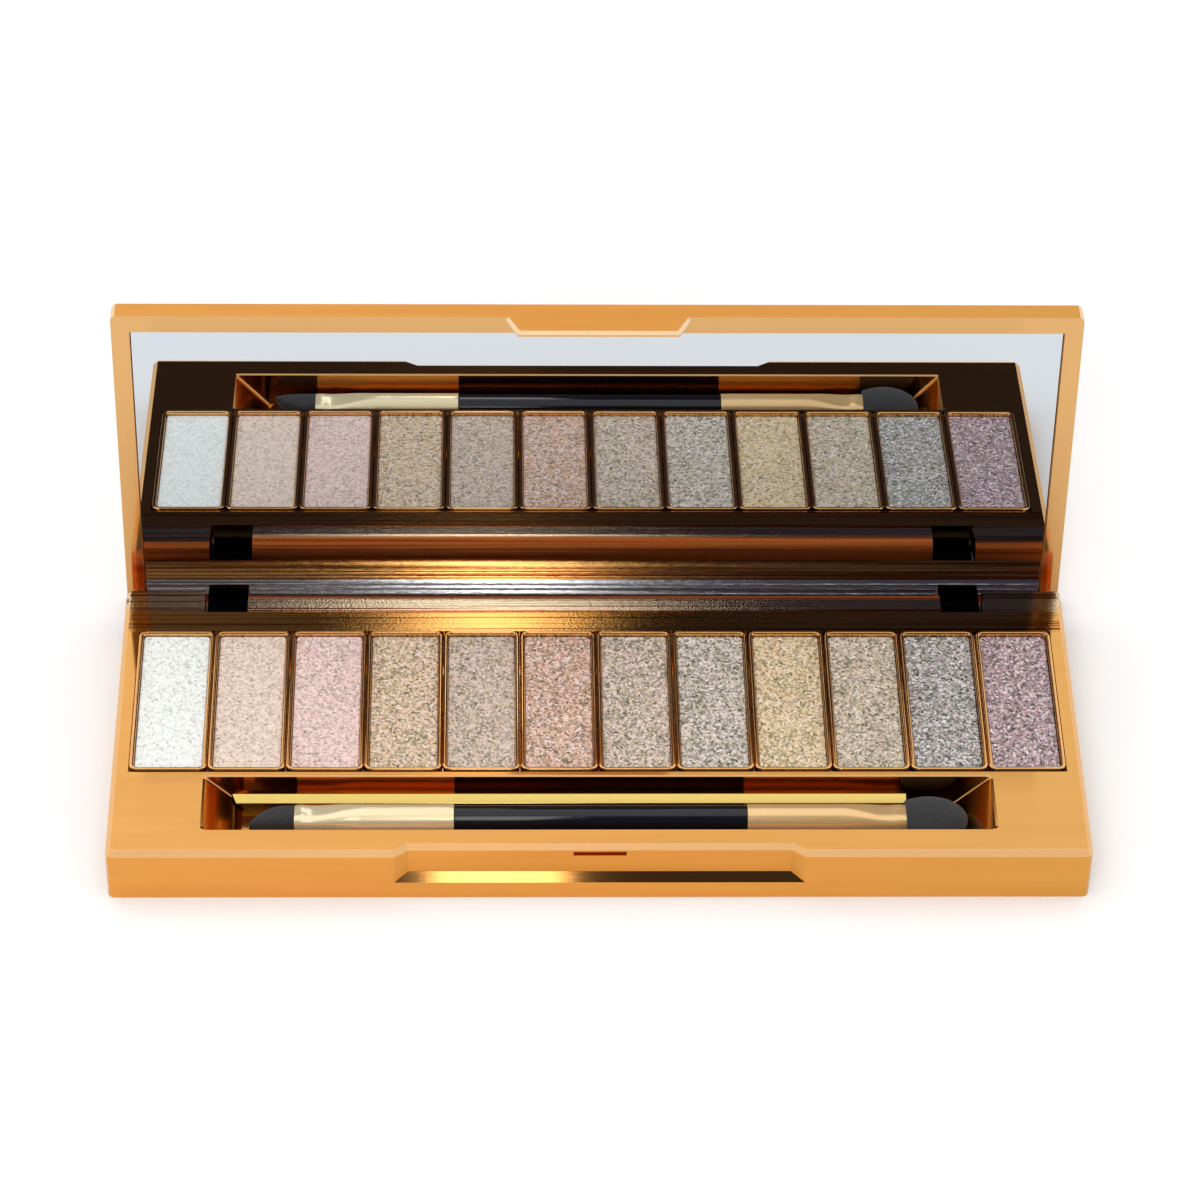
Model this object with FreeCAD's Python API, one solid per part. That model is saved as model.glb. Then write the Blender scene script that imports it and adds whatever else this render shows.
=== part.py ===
import FreeCAD, Part
import math
import os

# Eyeshadow palette: a hinged mirror case with a row of lipped pans and a double-ended applicator.
# Millimetres. The origin is the centre of the base's underside, +X runs along the row of pans,
# +Y points to the hinge and +Z up. The lid is drawn closed and then swung open to its stop.

# Pressed powders and their pans
PAN_COUNT = 12
POWDER_WIDTH = 12.5
POWDER_LENGTH = 35.1
POWDER_DEPTH = 4.5
POWDER_CORNER_RADIUS = 0.7
POWDER_EDGE_ROUND = 0.3
POWDER_SIDE_GAP = 0.1
PAN_WALL = 0.6
PAN_FLOOR = 0.5
PAN_SPACING_GAP = 0.1
LIP_OVERHANG = 0.24
LIP_THICKNESS = 0.9
LIP_ROUND = 0.36
LIP_ABOVE_POWDER = 0.8
LIP_ABOVE_DECK = 0.45

# Deck of the base, from the front face to the back
FRONT_DECK = 6.3
TROUGH_WIDTH = 13.4
DIVIDING_WALL = 1.05
REAR_DECK = 11.95
SIDE_DECK = 3.12
POCKET_GAP = 0.15

# Applicator trough
TROUGH_DEPTH = 7.2
TROUGH_END_RUN = 6.8
TROUGH_END_GAP = 0.75
TROUGH_CORNER_FILLET = 0.7
TROUGH_RIM_CHAMFER = 0.25

# Walls of the base and its bottom cover
CORNER_RADIUS = 1.2
EDGE_CHAMFER = 0.95
OUTER_WALL = 1.8
INNER_WALL = 1.2
DECK_THICKNESS = 1.6
COVER_THICKNESS = 1.5
COVER_LAND = 1.2
COVER_GAP = 0.1
UNDER_TROUGH_SPACE = 1.7
BACK_BEVEL_HEIGHT = 2.6
BACK_BEVEL_DEPTH = 4.2
BACK_BEVEL_WALL = 1.6

# Finger notch and catch slot in the front of the base
NOTCH_WIDTH = 75.2
NOTCH_END_RUN = 2.6
NOTCH_DEPTH = 1.75
NOTCH_FOOT_HEIGHT = 5.1
NOTCH_FOOT_DROP = 1.15
SLOT_DEPTH = 1.6

# Hinge
HINGE_HEIGHT = 4.48
HINGE_SETBACK = 2.55
OPEN_ANGLE = 94.9
ARM_SPACING = 141.4
ARM_WIDTH = 7.7
ARM_FRONT_REACH = 3.7
ARM_REAR_REACH = 2.4
ARM_SIDE_GAP = 0.3
ARM_SWING_GAP = 0.5
ARM_STOP_GAP = 0.15
PIN_RADIUS = 0.8
PIN_RUNNING_GAP = 0.05
PIN_END_GAP = 0.4
BOSS_LENGTH = 4.0
KNUCKLE_RADIUS = 3.6
KNUCKLE_GROOVE_WIDTH = 0.5
KNUCKLE_GROOVE_DEPTH = 0.35

# Lid, mirror and front tab
LID_GAP = 0.25
LID_SKIN = 1.5
LID_OVERHANG = 0.5
LID_EDGE_CHAMFER = 0.35
RIM_FRONT = 3.65
RIM_REAR = 3.5
RIM_LIP_GAP = 0.22
MIRROR_RECESS = 1.35
MIRROR_THICKNESS = 1.2
MIRROR_SIDE_GAP = 0.15
TAPE_THICKNESS = 0.3
TAPE_INSET = 4.0
TAB_ROOT_WIDTH = 34.7
TAB_TIP_WIDTH = 29.9
TAB_LENGTH = 4.95
TAB_THICKNESS = 1.0
TAB_CHAMFER = 0.55
NIB_WIDTH = 9.4
NIB_HEIGHT = 0.7
NIB_DROP = 2.05
NIB_PASS_GAP = 0.25
NIB_TAPER = 0.15
NIB_GAP = 0.15

# Double-ended applicator
HANDLE_RADIUS = 2.62
HANDLE_LENGTH = 54.1
HANDLE_END_ROUND = 0.2
SPIGOT_RADIUS = 2.1
SPIGOT_LENGTH = 6.0
SPIGOT_GAP = 0.05
FERRULE_RADIUS = 2.85
FERRULE_LENGTH = 29.3
FERRULE_ROUND_LENGTH = 17.7
FERRULE_CRIMP_LENGTH = 3.3
FERRULE_WALL = 0.3
CRIMP_HALF_WIDTH = 2.75
CRIMP_HALF_THICKNESS = 1.95
TANG_LENGTH = 3.0
TANG_GAP = 0.05
LEFT_TIP_LENGTH = 8.3
RIGHT_TIP_LENGTH = 11.5
SPONGE_ROOT_HALF_WIDTH = 4.7
SPONGE_HALF_WIDTH = 5.85
SPONGE_HALF_THICKNESS = 2.8
SPONGE_WIDEST_AT = 4.6
TIP_END_HALF_WIDTH = 0.4
APPLICATOR_ROLL = -8.0
APPLICATOR_SHIFT = 1.9
APPLICATOR_REST_GAP = 0.2
APPLICATOR_BEHIND = 7.25

# How square an ellipse and the crimps are, and how late the slanted tip falls away
ELLIPSE = 2.0
CRIMP_SQUARENESS = 3.6
SLANT_POWER = 3

# Room that a cutting solid reaches past the face it cuts, and what counts as the same height
PAST = 1.0
SAME = 1e-6

# Points round each of the applicator's cross-sections, and sections along each ferrule and tip
OVAL_POINTS = 16
FERRULE_SECTIONS = 10
TIP_SECTIONS = 5

# Sizes that follow from the ones above
PAN_WIDTH = POWDER_WIDTH + 2 * (POWDER_SIDE_GAP + PAN_WALL + LIP_OVERHANG)
PAN_LENGTH = POWDER_LENGTH + 2 * (POWDER_SIDE_GAP + PAN_WALL + LIP_OVERHANG)
PAN_HEIGHT = PAN_FLOOR + POWDER_DEPTH + LIP_ABOVE_POWDER
PAN_PITCH = PAN_WIDTH + PAN_SPACING_GAP
POCKET_WIDTH = PAN_COUNT * PAN_PITCH - PAN_SPACING_GAP + 2 * POCKET_GAP
POCKET_LENGTH = PAN_LENGTH + 2 * POCKET_GAP
CASE_WIDTH = PAN_COUNT * PAN_PITCH + 2 * SIDE_DECK
CASE_DEPTH = FRONT_DECK + TROUGH_WIDTH + DIVIDING_WALL + POCKET_LENGTH + REAR_DECK
BASE_HEIGHT = COVER_THICKNESS + UNDER_TROUGH_SPACE + INNER_WALL + TROUGH_DEPTH

CASE_SIDE = CASE_WIDTH / 2
CASE_FRONT = -CASE_DEPTH / 2
CASE_BACK = CASE_DEPTH / 2
TROUGH_FRONT = CASE_FRONT + FRONT_DECK
TROUGH_BACK = TROUGH_FRONT + TROUGH_WIDTH
TROUGH_FLOOR = BASE_HEIGHT - TROUGH_DEPTH
POCKET_FRONT = TROUGH_BACK + DIVIDING_WALL
POCKET_BACK = POCKET_FRONT + POCKET_LENGTH
PAN_Y = (POCKET_FRONT + POCKET_BACK) / 2
PAN_BOTTOM = BASE_HEIGHT + LIP_ABOVE_DECK - PAN_HEIGHT
NOTCH_WALL_TOP = BASE_HEIGHT - EDGE_CHAMFER
NOTCH_BACK = CASE_FRONT + NOTCH_DEPTH

HINGE_Y = CASE_BACK - HINGE_SETBACK
HINGE_AXIS_POINT = FreeCAD.Vector(0, HINGE_Y, HINGE_HEIGHT)
X_AXIS = FreeCAD.Vector(1, 0, 0)
OPEN_SIN = math.sin(math.radians(OPEN_ANGLE))
OPEN_COS = math.cos(math.radians(OPEN_ANGLE))
HINGE_NOTCH_WIDTH = ARM_WIDTH + 2 * ARM_SIDE_GAP
HINGE_NOTCH_FRONT = HINGE_Y - ARM_FRONT_REACH - ARM_SWING_GAP
ARM_UNDERSIDE_RUN = (HINGE_SETBACK - ARM_REAR_REACH * OPEN_COS) / OPEN_SIN
ARM_UNDERSIDE = HINGE_HEIGHT - ARM_REAR_REACH * OPEN_SIN + ARM_UNDERSIDE_RUN * OPEN_COS
HINGE_NOTCH_FLOOR = ARM_UNDERSIDE - ARM_STOP_GAP
BOSS_HALF_LENGTH = HINGE_NOTCH_WIDTH / 2 + BOSS_LENGTH

RIM_Z = BASE_HEIGHT + LID_GAP
RIM_SIDE = SIDE_DECK - RIM_LIP_GAP
MIRROR_POCKET_DEPTH = MIRROR_RECESS + MIRROR_THICKNESS + TAPE_THICKNESS
LID_THICKNESS = MIRROR_POCKET_DEPTH + LID_SKIN
MIRROR_FRONT = CASE_FRONT + RIM_FRONT
MIRROR_BACK = CASE_BACK - RIM_REAR
MIRROR_SIDE = CASE_SIDE - RIM_SIDE
NIB_Z = RIM_Z - NIB_DROP

APPLICATOR_LENGTH = LEFT_TIP_LENGTH + HANDLE_LENGTH + 2 * FERRULE_LENGTH + RIGHT_TIP_LENGTH
ROLL_SIN = math.sin(math.radians(APPLICATOR_ROLL))
ROLL_COS = math.cos(math.radians(APPLICATOR_ROLL))
SPONGE_DROP = math.hypot(SPONGE_HALF_WIDTH * ROLL_SIN, SPONGE_HALF_THICKNESS * ROLL_COS)
APPLICATOR_Y = TROUGH_BACK - APPLICATOR_BEHIND
APPLICATOR_Z = TROUGH_FLOOR + SPONGE_DROP + APPLICATOR_REST_GAP
APPLICATOR_LEFT = APPLICATOR_SHIFT - APPLICATOR_LENGTH / 2
LEFT_FERRULE_X = APPLICATOR_LEFT + LEFT_TIP_LENGTH
HANDLE_X = LEFT_FERRULE_X + FERRULE_LENGTH
RIGHT_FERRULE_X = HANDLE_X + HANDLE_LENGTH
RIGHT_TIP_X = RIGHT_FERRULE_X + FERRULE_LENGTH
TROUGH_REACH_AT_AXIS = APPLICATOR_LENGTH / 2 + APPLICATOR_SHIFT + TROUGH_END_GAP
TROUGH_FLOOR_REACH = TROUGH_REACH_AT_AXIS - (APPLICATOR_Z - TROUGH_FLOOR) * TROUGH_END_RUN / TROUGH_DEPTH


def box(x0, x1, y0, y1, z0, z1):
    return Part.makeBox(x1 - x0, y1 - y0, z1 - z0, FreeCAD.Vector(x0, y0, z0))


def wide_box(half_width, y0, y1, z0, z1):
    return box(-half_width, half_width, y0, y1, z0, z1)


def prism(points, direction):
    """A solid drawn out along direction from a closed outline of (x, y, z) points."""
    corners = [FreeCAD.Vector(*point) for point in points]
    outline = Part.makePolygon(corners + corners[:1])
    return Part.Face(outline).extrude(direction)


def rounded_slab(width, length, radius, z0, z1, x=0.0, y=0.0):
    """An upright block with rounded corners in plan, centred on (x, y)."""
    block = box(x - width / 2, x + width / 2, y - length / 2, y + length / 2, z0, z1)
    upright = [edge for edge in block.Edges if abs(edge.tangentAt(edge.FirstParameter).z) > 0.5]
    return block.makeFillet(radius, upright)


def level_edges(solid, z):
    return [edge for edge in solid.Edges if all(abs(v.Z - z) < SAME for v in edge.Vertexes)]


def save(name, solid):
    pieces = solid.Solids
    assert len(pieces) == 1 and pieces[0].isValid(), name
    pieces[0].exportStep(f"parts/{name}.step")
    print(f"{name}: {pieces[0].Volume:.1f} mm3")


def notch_outline(z, flare):
    """The finger notch in plan at height z, widened evenly by flare."""
    end = math.hypot(NOTCH_END_RUN, NOTCH_DEPTH)
    back_half = NOTCH_WIDTH / 2 - NOTCH_END_RUN + flare * (end - NOTCH_END_RUN) / NOTCH_DEPTH
    back = NOTCH_BACK + flare
    front_half = NOTCH_WIDTH / 2 + flare * end / NOTCH_DEPTH + PAST * NOTCH_END_RUN / NOTCH_DEPTH
    front = CASE_FRONT - PAST
    corners = [(-front_half, front, z), (-back_half, back, z), (back_half, back, z), (front_half, front, z)]
    return Part.makePolygon([FreeCAD.Vector(*corner) for corner in corners + corners[:1]])


def notch_foot(bottom):
    """What stays under the notch: a foot that slopes from the back wall out to the front face."""
    slope = NOTCH_FOOT_DROP / NOTCH_DEPTH
    front_z = NOTCH_FOOT_HEIGHT - NOTCH_FOOT_DROP
    outline = [(-NOTCH_WIDTH, CASE_FRONT - PAST, bottom),
               (-NOTCH_WIDTH, CASE_FRONT - PAST, front_z - slope * PAST),
               (-NOTCH_WIDTH, NOTCH_BACK + PAST, NOTCH_FOOT_HEIGHT + slope * PAST),
               (-NOTCH_WIDTH, NOTCH_BACK + PAST, bottom)]
    return prism(outline, FreeCAD.Vector(2 * NOTCH_WIDTH, 0, 0))


def finger_notch():
    """The notch's hollow: an upright back wall over its sloping foot, and a chamfered upper edge."""
    bottom = NOTCH_FOOT_HEIGHT - NOTCH_FOOT_DROP - PAST
    wall_top = notch_outline(NOTCH_WALL_TOP, 0.0)
    flared = notch_outline(BASE_HEIGHT + PAST, EDGE_CHAMFER + PAST)
    wall = Part.makeLoft([notch_outline(bottom, 0.0), wall_top], True, True).cut(notch_foot(bottom - PAST))
    return wall.fuse(Part.makeLoft([wall_top, flared], True, True))


def trough_space():
    """The trough's hollow, with sloped ends that meet its long walls in a small fillet."""
    slope = TROUGH_END_RUN / TROUGH_DEPTH
    top_reach = TROUGH_FLOOR_REACH + slope * (TROUGH_DEPTH + PAST)
    top = BASE_HEIGHT + PAST
    outline = [(-top_reach, TROUGH_FRONT, top), (-TROUGH_FLOOR_REACH, TROUGH_FRONT, TROUGH_FLOOR),
               (TROUGH_FLOOR_REACH, TROUGH_FRONT, TROUGH_FLOOR), (top_reach, TROUGH_FRONT, top)]
    space = prism(outline, FreeCAD.Vector(0, TROUGH_WIDTH, 0))
    slanted = []
    for edge in space.Edges:
        run = edge.tangentAt(edge.FirstParameter)
        if abs(run.x) > 0.1 and abs(run.z) > 0.1:
            slanted.append(edge)
    return space.makeFillet(TROUGH_CORNER_FILLET, slanted)


def trough_rim(solid):
    """The four straight edges where the deck breaks into the trough."""
    rim = []
    for edge in level_edges(solid, BASE_HEIGHT):
        middle = edge.CenterOfMass
        inside_y = TROUGH_FRONT - PAST / 2 < middle.y < TROUGH_BACK + PAST / 2
        inside_x = abs(middle.x) < TROUGH_FLOOR_REACH + TROUGH_END_RUN + PAST
        if inside_x and inside_y:
            rim.append(edge)
    return rim


def hollow_under_deck():
    """The space between the deck and the bottom cover, round the walls that hang from the deck."""
    side = CASE_SIDE - OUTER_WALL - COVER_LAND
    front = CASE_FRONT + OUTER_WALL + COVER_LAND
    back = CASE_BACK - BACK_BEVEL_DEPTH - BACK_BEVEL_WALL - COVER_LAND
    ceiling = BASE_HEIGHT - DECK_THICKNESS
    hollow = wide_box(side, front, back, COVER_THICKNESS, ceiling)
    over_bevel = BACK_BEVEL_HEIGHT + INNER_WALL
    hollow = hollow.fuse(wide_box(side, POCKET_BACK, CASE_BACK - OUTER_WALL, over_bevel, ceiling))
    pocket_side = POCKET_WIDTH / 2 + INNER_WALL
    hollow = hollow.cut(wide_box(pocket_side, POCKET_FRONT - INNER_WALL, POCKET_BACK + INNER_WALL,
                                 PAN_BOTTOM - INNER_WALL, BASE_HEIGHT))
    trough_side = TROUGH_FLOOR_REACH + TROUGH_END_RUN + INNER_WALL
    hollow = hollow.cut(wide_box(trough_side, CASE_FRONT, POCKET_FRONT,
                                 TROUGH_FLOOR - INNER_WALL, BASE_HEIGHT))
    for x in (-ARM_SPACING / 2, ARM_SPACING / 2):
        hollow = hollow.cut(box(x - BOSS_HALF_LENGTH, x + BOSS_HALF_LENGTH,
                                HINGE_NOTCH_FRONT - INNER_WALL, CASE_BACK, 0, BASE_HEIGHT))
    return hollow


def back_bevels():
    """The slanted cuts along the lower back edge, between and beside the hinge bosses."""
    inner = ARM_SPACING / 2 - BOSS_HALF_LENGTH
    outer = ARM_SPACING / 2 + BOSS_HALF_LENGTH
    slope = BACK_BEVEL_HEIGHT / BACK_BEVEL_DEPTH
    cuts = []
    for x0, x1 in ((-CASE_SIDE - PAST, -outer), (-inner, inner), (outer, CASE_SIDE + PAST)):
        outline = [(x0, CASE_BACK - BACK_BEVEL_DEPTH - PAST, -slope * PAST),
                   (x0, CASE_BACK + PAST, BACK_BEVEL_HEIGHT + slope * PAST),
                   (x0, CASE_BACK + PAST, -slope * PAST)]
        cuts.append(prism(outline, FreeCAD.Vector(x1 - x0, 0, 0)))
    return cuts


def knuckle_cuts():
    """Between the hinge notches the back edge is a round knuckle with a fine groove ahead of it."""
    half = (ARM_SPACING - HINGE_NOTCH_WIDTH) / 2
    centre_y = CASE_BACK - KNUCKLE_RADIUS
    centre_z = BASE_HEIGHT - KNUCKLE_RADIUS
    corner = wide_box(half, centre_y, CASE_BACK + PAST, centre_z, BASE_HEIGHT + PAST)
    start = FreeCAD.Vector(-half - PAST, centre_y, centre_z)
    barrel = Part.makeCylinder(KNUCKLE_RADIUS, 2 * (half + PAST), start, X_AXIS)
    groove = wide_box(half, HINGE_NOTCH_FRONT, HINGE_NOTCH_FRONT + KNUCKLE_GROOVE_WIDTH,
                      BASE_HEIGHT - KNUCKLE_GROOVE_DEPTH, BASE_HEIGHT + PAST)
    return [corner.cut(barrel), groove]


def base_body():
    body = rounded_slab(CASE_WIDTH, CASE_DEPTH, CORNER_RADIUS, 0, BASE_HEIGHT)
    body = body.makeChamfer(EDGE_CHAMFER, level_edges(body, BASE_HEIGHT))
    body = body.cut([finger_notch(), trough_space()])
    body = body.makeChamfer(TROUGH_RIM_CHAMFER, trough_rim(body))
    cuts = [wide_box(POCKET_WIDTH / 2, POCKET_FRONT, POCKET_BACK, PAN_BOTTOM, BASE_HEIGHT + PAST),
            hollow_under_deck(), cover_plate(0.0, -PAST)]
    slot_half_height = NIB_HEIGHT / 2 + NIB_GAP
    cuts.append(wide_box(NIB_WIDTH / 2 + NIB_GAP, NOTCH_BACK - PAST, NOTCH_BACK + SLOT_DEPTH,
                         NIB_Z - slot_half_height, NIB_Z + slot_half_height))
    for x in (-ARM_SPACING / 2, ARM_SPACING / 2):
        cuts.append(box(x - HINGE_NOTCH_WIDTH / 2, x + HINGE_NOTCH_WIDTH / 2, HINGE_NOTCH_FRONT,
                        CASE_BACK + PAST, HINGE_NOTCH_FLOOR, BASE_HEIGHT + PAST))
        start = FreeCAD.Vector(x - BOSS_HALF_LENGTH, HINGE_Y, HINGE_HEIGHT)
        cuts.append(Part.makeCylinder(PIN_RADIUS, 2 * BOSS_HALF_LENGTH, start, X_AXIS))
    return body.cut(cuts + back_bevels() + knuckle_cuts())


def cover_plate(gap, bottom):
    """The bottom cover's outline as a plate; with no gap it is the recess that the cover drops into."""
    side = CASE_SIDE - OUTER_WALL - gap
    front = CASE_FRONT + OUTER_WALL + gap
    back = CASE_BACK - BACK_BEVEL_DEPTH - BACK_BEVEL_WALL - gap
    return wide_box(side, front, back, bottom, COVER_THICKNESS)


def hinge_pin(x):
    half = BOSS_HALF_LENGTH - PIN_END_GAP
    return Part.makeCylinder(PIN_RADIUS, 2 * half, FreeCAD.Vector(x - half, HINGE_Y, HINGE_HEIGHT), X_AXIS)


def pan(x):
    """One pan: a thin cup with a rounded lip that stands proud of the deck."""
    inner_width = POWDER_WIDTH + 2 * POWDER_SIDE_GAP
    inner_length = POWDER_LENGTH + 2 * POWDER_SIDE_GAP
    inner_radius = POWDER_CORNER_RADIUS + POWDER_SIDE_GAP
    top = PAN_BOTTOM + PAN_HEIGHT
    cup = rounded_slab(inner_width + 2 * PAN_WALL, inner_length + 2 * PAN_WALL, inner_radius + PAN_WALL,
                       PAN_BOTTOM, top - LIP_THICKNESS, x, PAN_Y)
    lip = rounded_slab(PAN_WIDTH, PAN_LENGTH, inner_radius + PAN_WALL + LIP_OVERHANG,
                       top - LIP_THICKNESS, top, x, PAN_Y)
    space = rounded_slab(inner_width, inner_length, inner_radius,
                         PAN_BOTTOM + PAN_FLOOR, top + PAST, x, PAN_Y)
    solid = cup.fuse(lip).cut(space).removeSplitter()
    return solid.makeFillet(LIP_ROUND, level_edges(solid, top))


def powder(x):
    bottom = PAN_BOTTOM + PAN_FLOOR
    top = bottom + POWDER_DEPTH
    cake = rounded_slab(POWDER_WIDTH, POWDER_LENGTH, POWDER_CORNER_RADIUS, bottom, top, x, PAN_Y)
    return cake.makeFillet(POWDER_EDGE_ROUND, level_edges(cake, top))


def swing_open(solid):
    """Turns a piece of the lid from closed to its open stop."""
    solid.rotate(HINGE_AXIS_POINT, X_AXIS, -OPEN_ANGLE)
    return solid


def hinge_arm(x):
    """A lid arm, closed: upright behind the pans, with its foot rounded about the pin."""
    foot_run = math.sqrt(ARM_FRONT_REACH ** 2 - ARM_REAR_REACH ** 2)
    half_turn = math.asin(ARM_REAR_REACH / ARM_FRONT_REACH) / 2
    left = x - ARM_WIDTH / 2

    def at(forward, up):
        return FreeCAD.Vector(left, HINGE_Y - forward, HINGE_HEIGHT + up)

    rim_foot = RIM_Z - HINGE_HEIGHT
    rim_top = rim_foot + MIRROR_POCKET_DEPTH
    bend = ARM_REAR_REACH * math.sqrt(0.5)
    mid_foot = at(ARM_FRONT_REACH * math.cos(half_turn), -ARM_FRONT_REACH * math.sin(half_turn))
    front_foot = Part.Arc(at(ARM_FRONT_REACH, 0), mid_foot, at(foot_run, -ARM_REAR_REACH))
    rear_foot = Part.Arc(at(0, -ARM_REAR_REACH), at(-bend, -bend), at(-ARM_REAR_REACH, 0))
    rim_forward = HINGE_Y - MIRROR_BACK
    edges = [front_foot.toShape(),
             Part.makeLine(at(foot_run, -ARM_REAR_REACH), at(0, -ARM_REAR_REACH)),
             rear_foot.toShape(),
             Part.makeLine(at(-ARM_REAR_REACH, 0), at(-ARM_REAR_REACH, rim_top)),
             Part.makeLine(at(-ARM_REAR_REACH, rim_top), at(rim_forward, rim_top)),
             Part.makeLine(at(rim_forward, rim_top), at(rim_forward, rim_foot)),
             Part.makeLine(at(rim_forward, rim_foot), at(ARM_FRONT_REACH, rim_foot)),
             Part.makeLine(at(ARM_FRONT_REACH, rim_foot), at(ARM_FRONT_REACH, 0))]
    arm = Part.Face(Part.Wire(edges)).extrude(FreeCAD.Vector(ARM_WIDTH, 0, 0))
    bore_start = FreeCAD.Vector(left - PAST, HINGE_Y, HINGE_HEIGHT)
    bore = Part.makeCylinder(PIN_RADIUS + PIN_RUNNING_GAP, ARM_WIDTH + 2 * PAST, bore_start, X_AXIS)
    return arm.cut(bore)


def front_tab():
    """The thumb tab, closed: flush with the lid's front face, with a snap nib behind it."""
    tip_z = RIM_Z - TAB_LENGTH
    outline = [(-TAB_ROOT_WIDTH / 2, CASE_FRONT, RIM_Z), (-TAB_TIP_WIDTH / 2, CASE_FRONT, tip_z),
               (TAB_TIP_WIDTH / 2, CASE_FRONT, tip_z), (TAB_ROOT_WIDTH / 2, CASE_FRONT, RIM_Z)]
    tab = prism(outline, FreeCAD.Vector(0, TAB_THICKNESS, 0))
    outer = []
    for edge in tab.Edges:
        middle = edge.CenterOfMass
        if abs(middle.y - CASE_FRONT) < SAME and middle.z < RIM_Z - SAME:
            outer.append(edge)
    tab = tab.makeChamfer(TAB_CHAMFER, outer)
    nib_root = CASE_FRONT + TAB_THICKNESS
    nib_tip = NOTCH_BACK - NIB_PASS_GAP
    half = NIB_HEIGHT / 2
    left = -NIB_WIDTH / 2
    outline = [(left, nib_root, NIB_Z - half), (left, nib_tip, NIB_Z - half + NIB_TAPER),
               (left, nib_tip, NIB_Z + half - NIB_TAPER), (left, nib_root, NIB_Z + half)]
    return tab.fuse(prism(outline, FreeCAD.Vector(NIB_WIDTH, 0, 0)))


def lid_shell():
    top = RIM_Z + LID_THICKNESS
    shell = rounded_slab(CASE_WIDTH + 2 * LID_OVERHANG, CASE_DEPTH, CORNER_RADIUS, RIM_Z, top)
    shell = shell.makeChamfer(LID_EDGE_CHAMFER, level_edges(shell, top))
    shell = shell.cut(wide_box(MIRROR_SIDE, MIRROR_FRONT, MIRROR_BACK,
                               RIM_Z - PAST, RIM_Z + MIRROR_POCKET_DEPTH))
    arms = [hinge_arm(x) for x in (-ARM_SPACING / 2, ARM_SPACING / 2)]
    return shell.fuse(arms + [front_tab()]).removeSplitter()


def mirror_sheet(inset, z0, z1):
    """A flat sheet in the lid's mirror pocket, set in from the pocket's walls."""
    return wide_box(MIRROR_SIDE - inset, MIRROR_FRONT + inset, MIRROR_BACK - inset, z0, z1)


def squared(share, squareness):
    """Pushes a sine or cosine outwards, so that an oval drawn with it nears a rounded rectangle."""
    return math.copysign(abs(share) ** (2 / squareness), share)


def oval(x, half_width, half_thickness, squareness=ELLIPSE, offset=0.0):
    """A closed smooth outline across the applicator, shifted sideways by offset."""
    points = []
    for step in range(OVAL_POINTS):
        turn = 2 * math.pi * step / OVAL_POINTS
        across = offset + half_width * squared(math.cos(turn), squareness)
        points.append(FreeCAD.Vector(x, across, half_thickness * squared(math.sin(turn), squareness)))
    curve = Part.BSplineCurve()
    curve.interpolate(Points=points, PeriodicFlag=True)
    return Part.Wire(curve.toShape())


def lofted(sections):
    return Part.makeLoft([oval(*section) for section in sections], True)


def lay_in_trough(solid):
    """Turns an applicator piece to its resting roll and puts it on the trough's floor."""
    solid.rotate(FreeCAD.Vector(0, 0, 0), X_AXIS, APPLICATOR_ROLL)
    solid.translate(FreeCAD.Vector(0, APPLICATOR_Y, APPLICATOR_Z))
    return solid


def handle():
    rod = Part.makeCylinder(HANDLE_RADIUS, HANDLE_LENGTH, FreeCAD.Vector(HANDLE_X, 0, 0), X_AXIS)
    rims = [edge for edge in rod.Edges if len(edge.Vertexes) == 1]
    rod = rod.makeFillet(HANDLE_END_ROUND, rims)
    spigot = Part.makeCylinder(SPIGOT_RADIUS, HANDLE_LENGTH + 2 * SPIGOT_LENGTH,
                               FreeCAD.Vector(HANDLE_X - SPIGOT_LENGTH, 0, 0), X_AXIS)
    return lay_in_trough(rod.fuse(spigot))


def ferrule(handle_x, outward):
    """A ferrule: round on the handle, crimped flat at the tip; outward is -1 or 1 along X."""
    crimp_start = FERRULE_LENGTH - FERRULE_CRIMP_LENGTH
    tip_x = handle_x + outward * FERRULE_LENGTH
    sections = []
    for step in range(FERRULE_SECTIONS + 1):
        along = FERRULE_LENGTH * step / FERRULE_SECTIONS
        share = (along - FERRULE_ROUND_LENGTH) / (crimp_start - FERRULE_ROUND_LENGTH)
        share = min(max(share, 0.0), 1.0)
        pressed = share * share * (3 - 2 * share)
        sections.append((handle_x + outward * along,
                         FERRULE_RADIUS + pressed * (CRIMP_HALF_WIDTH - FERRULE_RADIUS),
                         FERRULE_RADIUS + pressed * (CRIMP_HALF_THICKNESS - FERRULE_RADIUS),
                         ELLIPSE + pressed * (CRIMP_SQUARENESS - ELLIPSE)))
    bore_end = handle_x + outward * (SPIGOT_LENGTH + SPIGOT_GAP)
    bore = Part.makeCylinder(SPIGOT_RADIUS + SPIGOT_GAP, abs(bore_end - handle_x) + PAST,
                             FreeCAD.Vector(min(handle_x - outward * PAST, bore_end), 0, 0), X_AXIS)
    socket = crimp_core(tip_x - outward * (TANG_LENGTH + TANG_GAP), tip_x + outward * PAST, FERRULE_WALL)
    return lay_in_trough(lofted(sections).cut([bore, socket]))


def crimp_core(start_x, end_x, inset):
    """A bar of the crimp's section, smaller all round by inset."""
    half_width = CRIMP_HALF_WIDTH - inset
    half_thickness = CRIMP_HALF_THICKNESS - inset
    return lofted([(x, half_width, half_thickness, CRIMP_SQUARENESS) for x in (start_x, end_x)])


def tip_tang(tip_x, outward):
    """The root of a foam tip, held inside the crimp."""
    return crimp_core(tip_x - outward * TANG_LENGTH, tip_x + outward * PAST, FERRULE_WALL + TANG_GAP)


def crowded(first, last):
    """Stations from first to last that crowd together towards the last."""
    steps = range(TIP_SECTIONS + 1)
    return [first + (last - first) * math.sin(math.pi / 2 * step / TIP_SECTIONS) for step in steps]


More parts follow.
